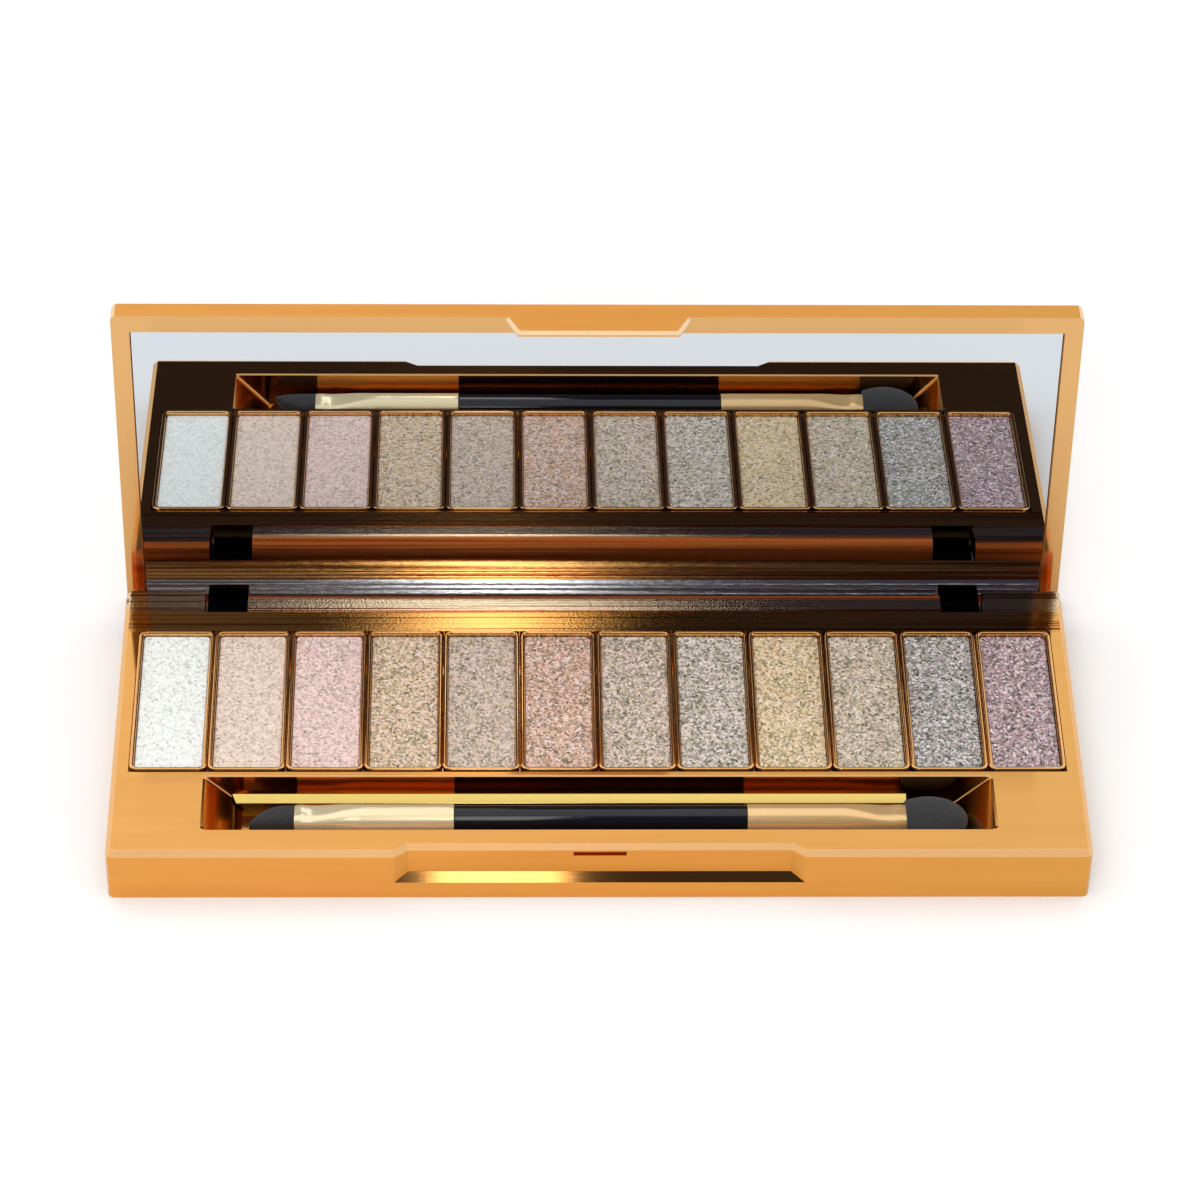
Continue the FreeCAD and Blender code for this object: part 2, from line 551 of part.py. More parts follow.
def slanted_tip():
    """The left tip: its back edge falls away towards the point, its front edge runs straight."""
    sections = []
    for along in crowded(0.0, LEFT_TIP_LENGTH):
        fall = (along / LEFT_TIP_LENGTH) ** SLANT_POWER
        half_width = CRIMP_HALF_WIDTH + fall * (TIP_END_HALF_WIDTH - CRIMP_HALF_WIDTH)
        narrowed = half_width / CRIMP_HALF_WIDTH
        squareness = ELLIPSE + narrowed * (CRIMP_SQUARENESS - ELLIPSE)
        sections.append((LEFT_FERRULE_X - along, half_width, CRIMP_HALF_THICKNESS * math.sqrt(narrowed),
                         squareness, half_width - CRIMP_HALF_WIDTH))
    return lay_in_trough(lofted(sections).fuse(tip_tang(LEFT_FERRULE_X, -1)))


def sponge_half_width(along):
    """Half the oval tip's width at a distance from the ferrule: swelling, then rounding off."""
    if along < SPONGE_WIDEST_AT:
        end = SPONGE_ROOT_HALF_WIDTH
        share = 1 - along / SPONGE_WIDEST_AT
    else:
        end = TIP_END_HALF_WIDTH
        share = (along - SPONGE_WIDEST_AT) / (RIGHT_TIP_LENGTH - SPONGE_WIDEST_AT)
    return math.sqrt(SPONGE_HALF_WIDTH ** 2 - share ** 2 * (SPONGE_HALF_WIDTH ** 2 - end ** 2))


def oval_tip():
    """The right tip: a plump foam paddle, wider than the ferrule."""
    sections = []
    for along in [0.0, SPONGE_WIDEST_AT / 2] + crowded(SPONGE_WIDEST_AT, RIGHT_TIP_LENGTH):
        half_width = sponge_half_width(along)
        half_thickness = SPONGE_HALF_THICKNESS * half_width / SPONGE_HALF_WIDTH
        sections.append((RIGHT_TIP_X + along, half_width, half_thickness))
    return lay_in_trough(lofted(sections).fuse(tip_tang(RIGHT_TIP_X, 1)))


os.makedirs("parts", exist_ok=True)

save("base_body", base_body())
save("bottom_cover", cover_plate(COVER_GAP, 0.0))
save("hinge_pin_left", hinge_pin(-ARM_SPACING / 2))
save("hinge_pin_right", hinge_pin(ARM_SPACING / 2))

for index in range(PAN_COUNT):
    pan_x = (index - (PAN_COUNT - 1) / 2) * PAN_PITCH
    save(f"pan_{index + 1:02d}", pan(pan_x))
    save(f"powder_{index + 1:02d}", powder(pan_x))

GLASS_Z = RIM_Z + MIRROR_RECESS
TAPE_Z = GLASS_Z + MIRROR_THICKNESS
save("lid_shell", swing_open(lid_shell()))
save("mirror_glass", swing_open(mirror_sheet(MIRROR_SIDE_GAP, GLASS_Z, TAPE_Z)))
save("mirror_tape", swing_open(mirror_sheet(TAPE_INSET, TAPE_Z, TAPE_Z + TAPE_THICKNESS)))

save("applicator_handle", handle())
save("applicator_ferrule_left", ferrule(HANDLE_X, -1))
save("applicator_ferrule_right", ferrule(RIGHT_FERRULE_X, 1))
save("applicator_tip_left", slanted_tip())
save("applicator_tip_right", oval_tip())

print(f"case {CASE_WIDTH:.2f} x {CASE_DEPTH:.2f}, base {BASE_HEIGHT:.2f}, lid {LID_THICKNESS:.2f}")
print(f"hinge axis y {HINGE_Y:.3f} z {HINGE_HEIGHT:.3f}, hinge notch floor {HINGE_NOTCH_FLOOR:.3f}")
print(f"trough floor z {TROUGH_FLOOR:.2f}, half length {TROUGH_FLOOR_REACH:.2f}")
print(f"applicator {APPLICATOR_LENGTH:.1f} long, axis y {APPLICATOR_Y:.2f} z {APPLICATOR_Z:.2f}")
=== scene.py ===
import math

import bpy
from mathutils import Matrix, Vector


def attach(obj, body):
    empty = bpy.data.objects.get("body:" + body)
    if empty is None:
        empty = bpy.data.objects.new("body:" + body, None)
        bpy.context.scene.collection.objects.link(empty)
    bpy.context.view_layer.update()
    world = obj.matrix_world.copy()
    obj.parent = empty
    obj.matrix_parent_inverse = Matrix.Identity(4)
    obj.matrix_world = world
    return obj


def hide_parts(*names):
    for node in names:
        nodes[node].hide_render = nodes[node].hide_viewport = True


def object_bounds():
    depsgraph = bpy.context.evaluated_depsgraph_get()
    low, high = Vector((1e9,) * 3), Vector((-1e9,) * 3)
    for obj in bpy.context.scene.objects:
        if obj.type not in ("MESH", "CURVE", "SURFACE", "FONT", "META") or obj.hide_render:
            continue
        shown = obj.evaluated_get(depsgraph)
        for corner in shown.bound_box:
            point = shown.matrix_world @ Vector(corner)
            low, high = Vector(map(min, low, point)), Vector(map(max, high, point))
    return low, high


# Looks of an eyeshadow palette: metallised gold case, mirror, glittering pressed powders, black and
# pale gold applicator with foam tips. Metres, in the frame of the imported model.

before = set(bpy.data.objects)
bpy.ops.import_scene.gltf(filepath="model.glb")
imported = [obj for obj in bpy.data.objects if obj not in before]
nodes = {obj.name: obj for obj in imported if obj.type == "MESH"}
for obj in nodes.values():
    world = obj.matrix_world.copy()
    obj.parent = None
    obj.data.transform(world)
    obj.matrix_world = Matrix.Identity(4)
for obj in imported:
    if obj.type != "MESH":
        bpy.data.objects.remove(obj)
cad_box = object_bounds()

# Camera, fitted to the photograph's edges
CAMERA_PLACE = Vector((-0.01935, -0.59993, 0.61892))
CAMERA_YAW = math.radians(-1.847)
CAMERA_PITCH = math.radians(43.865)
CAMERA_ROLL = math.radians(1.305)
CAMERA_LENS_MM = 136.7
CAMERA_SENSOR_MM = 36.0
CAMERA_NEAR = 0.01

# Studio: an even white room; polished surfaces also see a dark card in its front, behind the camera
WHITE = (1.0, 1.0, 1.0, 1.0)
FLOOR_SIZE = 3.0
FLOOR_COLOUR = (0.93, 0.935, 0.94, 1.0)
FLOOR_REFLECTED = (0.80, 0.81, 0.82, 1.0)
FLOOR_ROUGHNESS = 0.9
ROOM_LEVEL = 0.90
CARD_COLOUR = (0.031, 0.027, 0.042, 1.0)
CARD_LIGHT_END = (0.150, 0.125, 0.120, 1.0)
CARD_LIGHT_FROM = 0.00
CARD_LIGHT_FULL = -0.09
CARD_LIGHT_LOW_SINE = 0.66
CARD_LIGHT_HIGH_SINE = 0.78
CARD_FOOT_SINE = 0.02
CARD_TOP_SINE = 0.94
CARD_EDGE_SOFTNESS = 0.06
CARD_FRONT_FROM = 0.10
CARD_FRONT_FULL = 0.35
SOFTBOX_SIZE = 1.4
SOFTBOX_PLACE = Vector((-0.25, 0.10, 1.3))
SOFTBOX_POWER = 4.0
FILL_PLACE = Vector((-0.12, -0.62, 0.66))
FILL_SIZE = 0.25
FILL_POWER = 1.2
STRIP_PLACE = Vector((-0.022, -0.50, 0.76))
STRIP_WIDTH = 0.050
STRIP_HEIGHT = 0.48
STRIP_POWER = 0.25

# Amber lacquer over bright metal: its tint along the case, from the left end to the right, with painted
# light that makes it lightest at the left end
LACQUER_LEFT = (0.930, 0.475, 0.145, 1.0)
LACQUER_MIDDLE = (0.890, 0.430, 0.115, 1.0)
LACQUER_RIGHT = (0.840, 0.455, 0.140, 1.0)
LACQUER_HALF_LENGTH = 0.090
LACQUER_SPECULAR = 0.2
CLOUD_SHADE = (0.86, 0.80, 0.70, 1.0)

# Other tints on the case
# Painted shade: the whole lid a little darker and cooler than the base
LID_PAINTED_SHADE = (0.88, 0.92, 1.00, 1.0)
RIM_TINT = (0.820, 0.465, 0.180, 1.0)
# Painted highlights: pale colours on the lid's and the base's edges that stand for the light they catch
LID_EDGE_HIGHLIGHT = (0.950, 0.680, 0.400, 1.0)
BASE_EDGE_HIGHLIGHT = (0.890, 0.500, 0.205, 1.0)
KNUCKLE_TINT = (0.870, 0.650, 0.410, 1.0)
STREAK_TINT = (0.330, 0.090, 0.022, 1.0)
# Painted shade: the back, in the gap that faces the lid's mirror, darker and redder than the lacquer,
# with darker streaks
BACK_PAINTED_SHADE = (0.640, 0.150, 0.026, 1.0)
BACK_PAINTED_SHADE_STREAK = (0.340, 0.070, 0.015, 1.0)
ARM_BLACK = (0.016, 0.018, 0.024, 1.0)

# Polished and satin faces, and the brushing, whose direction is a little off every face's own axes
POLISHED_ROUGHNESS = 0.08
SATIN_ROUGHNESS = 0.40
SATIN_METAL = 0.35
SATIN_DEPTH = (1.00, 0.86, 0.56, 1.0)
BACK_SATIN = 0.60
RIM_SATIN = 0.1
BRUSHED = 0.95
BRUSHED_TURN = 0.25
ALONG_CASE = (1.0, 0.013, 0.007)
BRUSHING_HEIGHT = 0.000006
GRAIN_HEIGHT = 0.000012
KNUCKLE_GRAIN_HEIGHT = 0.000016

# Places on the case where its finish changes
REAR_DECK_Y = 0.0226
KNUCKLE_Y = 0.0283
BACK_Y = 0.0312
FRONT_WALL_Y = -0.0305
FRONT_BRINK_Y = -0.0337
CHAMFER_FOOT_Z = 0.0100
CHAMFER_REAR_Y = 0.0305
CASE_END_X = 0.0800
ARM_X = 0.0707
ARM_HALF_WIDTH = 0.0040
ARM_BACK_Y = 0.0390
LID_FOOT_Z = 0.0120

# Widths over which one finish turns into the next
FINE_BLEND = 0.0001
SHORT_BLEND = 0.0002
DECK_BLEND = 0.0004
MIDDLE_BLEND = 0.0005
WIDE_BLEND = 0.0006
LID_BLEND = 0.0010

# Facings: the parts of the surface's normal along an axis at which a finish starts and is full
UPWARD = (0.4, 0.6)
NEARLY_LEVEL = (0.9, 0.95)
STEEPER_THAN_LEVEL = (0.9, 0.8)
FLATTER_THAN_WALL = (0.45, 0.6)
FRONTWARD = (-0.72, -0.85)
BACKWARD = (0.10, 0.30)
NOT_ENDWARD = (0.5, 0.4)
SQUARE_ON = (0.9, 0.97)
SQUARE_FRONTWARD = (-0.9, -0.97)
LID_OUTWARD = (0.3, 0.6)
LID_FRONTWARD = (-0.5, -0.95)

# Noise: cells to the metre along each axis, and the levels at which streaks start and are full
CLOUD_CELLS = (25.0, 260.0, 260.0)
BRUSHING_CELLS = (30.0, 2600.0, 2600.0)
DECK_STREAK_CELLS = (9.0, 1700.0, 1700.0)
DECK_STREAKS = (0.48, 0.62)
DECK_GRAIN_CELLS = (2200.0, 5200.0, 5200.0)
STAMPED_CELLS = (400.0, 2200.0, 2200.0)
HAZE_CELLS = (35.0, 35.0, 35.0)
MOULDING_STREAK_CELLS = (9.0, 1900.0, 1900.0)
MOULDING_STREAKS = (0.42, 0.62)
MOULDING_GRAIN_CELLS = (500.0, 2600.0, 2600.0)
HANDLE_CELLS = (400.0, 2500.0, 2500.0)
FERRULE_CELLS = (60.0, 3500.0, 3500.0)
FOAM_MOTTLE_CELLS = (900.0, 900.0, 900.0)
PIN_CELLS = (80.0, 4000.0, 4000.0)
TAPE_CELLS = (2500.0, 2500.0, 2500.0)

# Sloped ledge with a round nose along the trough's rear wall
LEDGE_WALL_Y = -0.01531
LEDGE_FLOOR_Z = 0.00442
LEDGE_TOP_Z = 0.0068
LEDGE_REACH = 0.0017
LEDGE_SLOPE = math.radians(26.0)
LEDGE_NOSE = 0.00020
LEDGE_LEFT = -0.0614
LEDGE_LEFT_LEAN = -0.944
LEDGE_RIGHT = 0.0572

# Moulding of convex reeds across the mirror's foot, with heights above the glass's lower edge
MOULDING_END_GAP = 0.0003
MOULDING_BACK_GAP = 0.00003
MOULDING_SKIN = 0.00005
BEAD_FOOT = 0.0001
BEAD_TOP = 0.0037
BEAD_REEDS = 3
BEAD_SLOPES = (0.40, 1.40)
LIP_TOP = 0.0076
LIP_REEDS = 4
LIP_SLOPES = (0.72, 1.18)

# Straight steps in each round of the strips, and the least angle of their sharp edges
ROUND_STEPS = 8
SHARP_ANGLE = math.radians(30.0)

# Stamped gold of the pans and the ledge
PAN_GOLD = (0.930, 0.500, 0.190, 1.0)
PAN_ROUGHNESS = (0.112, 0.175)
LEDGE_GOLD = (0.935, 0.680, 0.200, 1.0)
LEDGE_ROUGHNESS = (0.08, 0.125)
STAMPED_SHADES = (0.9, 1.05)
STAMPED_HEIGHT = 0.00001
STAMPED_STRENGTH = 0.25

# Mirror and moulding
SILVERING = (0.745, 0.785, 0.815, 1.0)
HAZE_SHADES = (0.985, 1.0)
HAZE_ROUGHNESS = (0.0, 0.012)
BRIGHT_METAL = (0.800, 0.790, 0.790, 1.0)
BRIGHT_METAL_DARK = (0.300, 0.280, 0.280, 1.0)
GILT = (0.900, 0.480, 0.150, 1.0)
MOULDING_ROUGHNESS = (0.06, 0.16)
MOULDING_GRAIN_HEIGHT = 0.000014

# Handle, ferrules and foam tips of the applicator
BLACK_GLOSS = (0.006, 0.006, 0.009, 1.0)
HANDLE_SHADES = (0.8, 1.4)
HANDLE_ROUGHNESS = (0.03, 0.08)
HANDLE_SPECULAR = 0.5
# Painted light on the ferrules: one gold, paler at the left one and deeper at the right one
FERRULE_LEFT_PAINTED_LIGHT = (0.980, 0.840, 0.540, 1.0)
FERRULE_RIGHT_PAINTED_SHADE = (0.860, 0.570, 0.260, 1.0)
FERRULE_LEFT_X = -0.060
FERRULE_RIGHT_X = 0.050
FERRULE_METAL = 0.5
FERRULE_ROUGHNESS = (0.14, 0.22)
FERRULE_HEIGHT = 0.000005
FERRULE_STRENGTH = 0.2
FOAM = (0.022, 0.021, 0.022, 1.0)
FOAM_SHADES = (0.6, 1.7)
FOAM_ROUGHNESS = 0.92
FOAM_SHEEN = 0.15
FOAM_PORES_PER_METRE = 5500.0
FOAM_PIT = 0.00008
FOAM_PIT_STRENGTH = 0.7
FOAM_PIT_LEVEL = 0.6
FOAM_PORE = 0.0005
FOAM_VOXEL = 0.00014
FOAM_RELAXING = 0.5
FOAM_RELAXINGS = 4

# Hinge pins and mirror tape
STEEL = (0.620, 0.610, 0.600, 1.0)
PIN_SHADES = (0.8, 1.1)
PIN_ROUGHNESS = (0.175, 0.325)
TAPE = (0.800, 0.800, 0.780, 1.0)
TAPE_SHADES = (0.85, 1.0)
TAPE_ROUGHNESS = 0.9

# Pressed shades from left to right: colour, and how strongly the glitter stands out
SHADES = (
    ("snow", (0.900, 0.915, 0.875), 0.06),
    ("shell_pink", (0.850, 0.665, 0.550), 0.22),
    ("rose_lilac", (0.860, 0.620, 0.560), 0.27),
    ("khaki_gold", (0.730, 0.530, 0.350), 0.43),
    ("warm_taupe", (0.635, 0.490, 0.375), 0.38),
    ("rose_taupe", (0.700, 0.450, 0.328), 0.46),
    ("stone", (0.620, 0.485, 0.368), 0.46),
    ("silver", (0.575, 0.495, 0.398), 0.50),
    ("champagne", (0.720, 0.540, 0.320), 0.41),
    ("sage_beige", (0.575, 0.468, 0.335), 0.44),
    ("steel_blue", (0.405, 0.376, 0.340), 0.53),
    ("mauve", (0.413, 0.284, 0.300), 0.47),
)
FLAKE_SIZE = 0.00040
FLAKE_TILT = 0.30
FLAKE_HUES = 0.45
FLAKE_DARKENING = 1.3
# Painted glints: how far the lightest flakes go towards white
FLAKE_PAINTED_GLINT = 1.4
FLAKES_BETWEEN = ((0.25, -0.5), (0.72, 0.4))
FLAKE_METAL = 1.8
FLAKE_ROUGHNESS = (0.2, 0.5)
BRIGHT_FLAKES = (0.70, 0.80)
FACING_UP = (0.5, 0.5, 1.0, 1.0)

# Sockets of a mix node that mixes colours
MIX_FACTOR = 0
MIX_FIRST = 6
MIX_SECOND = 7
MIX_RESULT = 2


def new_material(name):
    """A material with one surface shader, its node tree and that shader."""
    material = bpy.data.materials.new(name)
    material.use_nodes = True
    tree = material.node_tree
    shader = tree.nodes["Principled BSDF"]
    return material, tree, shader


def add(tree, kind, **settings):
    """A new node of the tree with its settings."""
    node = tree.nodes.new(kind)
    for key, value in settings.items():
        setattr(node, key, value)
    return node


def feed(tree, part, socket):
    """Gives a socket its value: another socket, or a plain number or colour."""
    if isinstance(part, (float, tuple)):
        socket.default_value = part
    else:
        tree.links.new(part, socket)


def object_coordinates(tree, stretch=(1.0, 1.0, 1.0)):
    """The surface point in the object's own metres, scaled along each axis."""
    place = add(tree, "ShaderNodeTexCoord")
    mapping = add(tree, "ShaderNodeMapping")
    mapping.inputs["Scale"].default_value = stretch
    tree.links.new(place.outputs["Object"], mapping.inputs["Vector"])
    return mapping.outputs["Vector"]


def noise(tree, cells, detail=2.0):
    """Noise from 0 to 1, with so many cells to the metre along each axis."""
    texture = add(tree, "ShaderNodeTexNoise")
    texture.inputs["Scale"].default_value = 1.0
    texture.inputs["Detail"].default_value = detail
    tree.links.new(object_coordinates(tree, cells), texture.inputs["Vector"])
    return texture.outputs["Fac"]


def scattered_cells(tree, per_metre):
    """Cells with a colour each, so many to the metre."""
    texture = add(tree, "ShaderNodeTexVoronoi")
    texture.inputs["Scale"].default_value = per_metre
    tree.links.new(object_coordinates(tree), texture.inputs["Vector"])
    return texture.outputs


def ranged(tree, value, low, high):
    """A value from 0 to 1 spread over low to high."""
    spread = add(tree, "ShaderNodeMapRange")
    spread.inputs["To Min"].default_value = low
    spread.inputs["To Max"].default_value = high
    tree.links.new(value, spread.inputs["Value"])
    return spread.outputs["Result"]


def tinted(tree, value, first, last, between=()):
    """A colour from first to last, picked by a value from 0 to 1; others may lie between."""
    ramp = add(tree, "ShaderNodeValToRGB")
    ramp.color_ramp.elements[0].color = first
    ramp.color_ramp.elements[1].color = last
    for place, colour in between:
        ramp.color_ramp.elements.new(place).color = colour
    tree.links.new(value, ramp.inputs["Fac"])
    return ramp.outputs["Color"]


def scaled(colour, factor):
    """A colour made darker or lighter."""
    return tuple(min(1.0, part * factor) for part in colour[:3]) + (1.0,)


def shaded(tree, value, colour, shades):
    """A colour between two shades of itself, picked by a value from 0 to 1."""
    darker, lighter = [scaled(colour, shade) for shade in shades]
    return tinted(tree, value, darker, lighter)


def bumped(tree, height, distance=1.0, strength=1.0):
    """A shading normal from a height, in units of the distance."""
    bump = add(tree, "ShaderNodeBump")
    bump.inputs["Strength"].default_value = strength
    bump.inputs["Distance"].default_value = distance
    tree.links.new(height, bump.inputs["Height"])
    return bump.outputs["Normal"]


def step(tree, value, start, end):
    """0 before start and 1 after end, with a smooth change between them; end may lie below start."""
    edge = add(tree, "ShaderNodeMapRange", interpolation_type="SMOOTHSTEP")
    edge.inputs["From Min"].default_value = start
    edge.inputs["From Max"].default_value = end
    tree.links.new(value, edge.inputs["Value"])
    return edge.outputs["Result"]


def combined(tree, operation, *values):
    """Values joined one after another by one operation; each is a socket or a plain number."""
    total = values[0]
    for value in values[1:]:
        joint = add(tree, "ShaderNodeMath", operation=operation)
        feed(tree, total, joint.inputs[0])
        feed(tree, value, joint.inputs[1])
        total = joint.outputs["Value"]
    return total


def magnitude(tree, value):
    """A value without its sign."""
    size = add(tree, "ShaderNodeMath", operation="ABSOLUTE")
    tree.links.new(value, size.inputs[0])
    return size.outputs["Value"]


def mixed(tree, factor, first, second, blend="MIX"):
    """A colour changed by another as far as a factor says; each is a socket or a plain value."""
    mix = add(tree, "ShaderNodeMix", data_type="RGBA", blend_type=blend)
    feed(tree, factor, mix.inputs[MIX_FACTOR])
    feed(tree, first, mix.inputs[MIX_FIRST])
    feed(tree, second, mix.inputs[MIX_SECOND])
    return mix.outputs[MIX_RESULT]


def axes_of(tree, output):
    """The parts of the surface point or of its facing, along the object's own axes."""
    place = add(tree, "ShaderNodeTexCoord")
    parts = add(tree, "ShaderNodeSeparateXYZ")
    tree.links.new(place.outputs[output], parts.inputs["Vector"])
    return parts.outputs


def lacquer_with_painted_light(tree):
    """The lacquer's colour along the case with painted light, lightest at the left end, and faint
    lengthwise clouds.
    """
    along = add(tree, "ShaderNodeMapRange")
    along.inputs["From Min"].default_value = -LACQUER_HALF_LENGTH
    along.inputs["From Max"].default_value = LACQUER_HALF_LENGTH
    tree.links.new(axes_of(tree, "Object")["X"], along.inputs["Value"])
    tint = tinted(tree, along.outputs["Result"], LACQUER_LEFT, LACQUER_RIGHT, [(0.5, LACQUER_MIDDLE)])
    clouds = noise(tree, CLOUD_CELLS, detail=4.0)
    return mixed(tree, 1.0, tint, tinted(tree, clouds, CLOUD_SHADE, WHITE), "MULTIPLY")


def brushed_along(tree, shader):
    """Spreads reflections across the case's length, as fine lengthwise brushing does."""
    shader.inputs["Anisotropic"].default_value = BRUSHED
    shader.inputs["Anisotropic Rotation"].default_value = BRUSHED_TURN
    along = add(tree, "ShaderNodeCombineXYZ")
    for socket, part in zip(along.inputs, ALONG_CASE):
        socket.default_value = part
    tree.links.new(along.outputs["Vector"], shader.inputs["Tangent"])


def lacquered_gold(name, satin, edge, edge_highlight_colour, tone, relief=None):
    """Bright metallised plastic under an amber lacquer, brushed along the case.

    satin and edge make, from the tree, the shares of satin outer face and of painted edge highlight, a
    pale rough colour that stands for light caught on the edges;
    tone changes the lacquer's colour by place and relief adds a height in metres to the brushing.
    """
    material, tree, shader = new_material(name)
    satin_share = satin(tree)
    edge_highlight_share = edge(tree)
    lacquer = mixed(tree, satin_share, lacquer_with_painted_light(tree), SATIN_DEPTH, "MULTIPLY")
    # Painted highlight: the edges take a pale colour that stands for the light they catch
    colour = mixed(tree, edge_highlight_share, tone(tree, lacquer), edge_highlight_colour)
    tree.links.new(colour, shader.inputs["Base Color"])
    scattering = combined(tree, "MAXIMUM", satin_share, edge_highlight_share)
    tree.links.new(ranged(tree, scattering, 1.0, SATIN_METAL), shader.inputs["Metallic"])
    roughness = ranged(tree, scattering, POLISHED_ROUGHNESS, SATIN_ROUGHNESS)
    tree.links.new(roughness, shader.inputs["Roughness"])
    shader.inputs["Specular IOR Level"].default_value = LACQUER_SPECULAR
    brushed_along(tree, shader)
    brushing = noise(tree, BRUSHING_CELLS, detail=3.0)
    height = combined(tree, "MULTIPLY", brushing, BRUSHING_HEIGHT)
    if relief:
        height = combined(tree, "ADD", height, relief(tree))
    tree.links.new(bumped(tree, height), shader.inputs["Normal"])
    return material


def base_back(tree):
    """The rear wall and the back of the knuckle."""
    behind = step(tree, axes_of(tree, "Object")["Y"], BACK_Y, BACK_Y + WIDE_BLEND)
    return combined(tree, "MULTIPLY", behind, step(tree, axes_of(tree, "Normal")["Y"], *BACKWARD))


def base_rear(tree, start):
    """The top of the case behind the given place."""
    behind = step(tree, axes_of(tree, "Object")["Y"], start, start + DECK_BLEND)
    return combined(tree, "MULTIPLY", behind, step(tree, axes_of(tree, "Normal")["Z"], *UPWARD))


def base_satin(tree):
    """The front wall with the finger notch's wall, and partly the back."""
    facing = step(tree, axes_of(tree, "Normal")["Y"], *FRONTWARD)
    ahead = step(tree, axes_of(tree, "Object")["Y"], FRONT_WALL_Y, FRONT_WALL_Y - MIDDLE_BLEND)
    front = combined(tree, "MULTIPLY", facing, ahead)
    return combined(tree, "MAXIMUM", front, ranged(tree, base_back(tree), 0.0, BACK_SATIN))


def base_edge_highlight(tree):
    """Painted highlight on the level brink of the front and on the chamfer round the top of the case.

    The chamfer along the back and the slopes at the trough's ends aren't part of it.
    """
    facing = axes_of(tree, "Normal")
    place = axes_of(tree, "Object")
    slanted = combined(tree, "MULTIPLY", step(tree, facing["Z"], *FLATTER_THAN_WALL),
                       step(tree, facing["Z"], *STEEPER_THAN_LEVEL),
                       step(tree, place["Z"], CHAMFER_FOOT_Z, CHAMFER_FOOT_Z + WIDE_BLEND),
                       step(tree, place["Y"], CHAMFER_REAR_Y, CHAMFER_REAR_Y - MIDDLE_BLEND))
    outer = step(tree, magnitude(tree, place["X"]), CASE_END_X, CASE_END_X + FINE_BLEND)
    lengthwise = step(tree, magnitude(tree, facing["X"]), *NOT_ENDWARD)
    brink = combined(tree, "MULTIPLY", step(tree, facing["Z"], *NEARLY_LEVEL),
                     step(tree, place["Y"], FRONT_BRINK_Y, FRONT_BRINK_Y - SHORT_BLEND))
    chamfer = combined(tree, "MULTIPLY", slanted, combined(tree, "MAXIMUM", outer, lengthwise))
    return combined(tree, "MAXIMUM", chamfer, brink)


def base_tone(tree, colour):
    """Paler knuckle, streaked rear deck, and painted shade on the back, darker and redder in the gap
    that faces the mirror.
    """
    dark = step(tree, noise(tree, DECK_STREAK_CELLS, detail=5.0), *DECK_STREAKS)
    colour = mixed(tree, base_rear(tree, KNUCKLE_Y), colour, KNUCKLE_TINT)
    streaked = combined(tree, "MULTIPLY", base_rear(tree, REAR_DECK_Y), dark)
    colour = mixed(tree, streaked, colour, STREAK_TINT)
    return mixed(tree, base_back(tree), colour, tinted(tree, dark, BACK_PAINTED_SHADE, BACK_PAINTED_SHADE_STREAK))


def base_relief(tree):
    """Grain on the rear deck and on the knuckle."""
    grain = noise(tree, DECK_GRAIN_CELLS, detail=3.0)
    deck = combined(tree, "MULTIPLY", base_rear(tree, REAR_DECK_Y), grain, GRAIN_HEIGHT)
    knuckle = combined(tree, "MULTIPLY", base_rear(tree, KNUCKLE_Y), grain, KNUCKLE_GRAIN_HEIGHT)
    return combined(tree, "ADD", deck, knuckle)


def lid_above_foot(tree):
    """The lid less its foot and hinge arms."""
    return step(tree, axes_of(tree, "Object")["Z"], LID_FOOT_Z, LID_FOOT_Z + LID_BLEND)


def lid_satin(tree):
    """The lid above its foot, its outside and its ends; little on the rim that faces the front."""
    facing = axes_of(tree, "Normal")
    outside = step(tree, facing["Y"], *LID_OUTWARD)
    ends = step(tree, magnitude(tree, facing["X"]), *SQUARE_ON)
    rim = step(tree, facing["Y"], *LID_FRONTWARD)
    covered = combined(tree, "MAXIMUM", lid_above_foot(tree), outside, ends)
    return combined(tree, "MULTIPLY", covered, ranged(tree, rim, 1.0, RIM_SATIN))


def lid_edge_highlight(tree):
    """Painted highlight on the lid's chamfered outer edge and on the slopes of its tab."""
    facing = axes_of(tree, "Normal")
    square = [step(tree, facing[axis], sign * SQUARE_ON[0], sign * SQUARE_ON[1])
              for axis in "XYZ" for sign in (-1, 1)]
    slanted = ranged(tree, combined(tree, "MAXIMUM", *square), 1.0, 0.0)
    return combined(tree, "MULTIPLY", slanted, lid_above_foot(tree))


def lid_tone(tree, colour):
    """A slightly darker lid from painted shade, with a pale front rim and black hinge arms."""
    place = axes_of(tree, "Object")
    rim = step(tree, axes_of(tree, "Normal")["Y"], *SQUARE_FRONTWARD)
    colour = mixed(tree, rim, mixed(tree, 1.0, colour, LID_PAINTED_SHADE, "MULTIPLY"), RIM_TINT)
    sideways = magnitude(tree, place["X"])
    inner = ARM_X - ARM_HALF_WIDTH
    outer = ARM_X + ARM_HALF_WIDTH
    arm = combined(tree, "MULTIPLY", step(tree, sideways, inner - FINE_BLEND, inner),
                   step(tree, sideways, outer + FINE_BLEND, outer),
                   step(tree, place["Y"], ARM_BACK_Y + SHORT_BLEND, ARM_BACK_Y))
    return mixed(tree, arm, colour, ARM_BLACK)


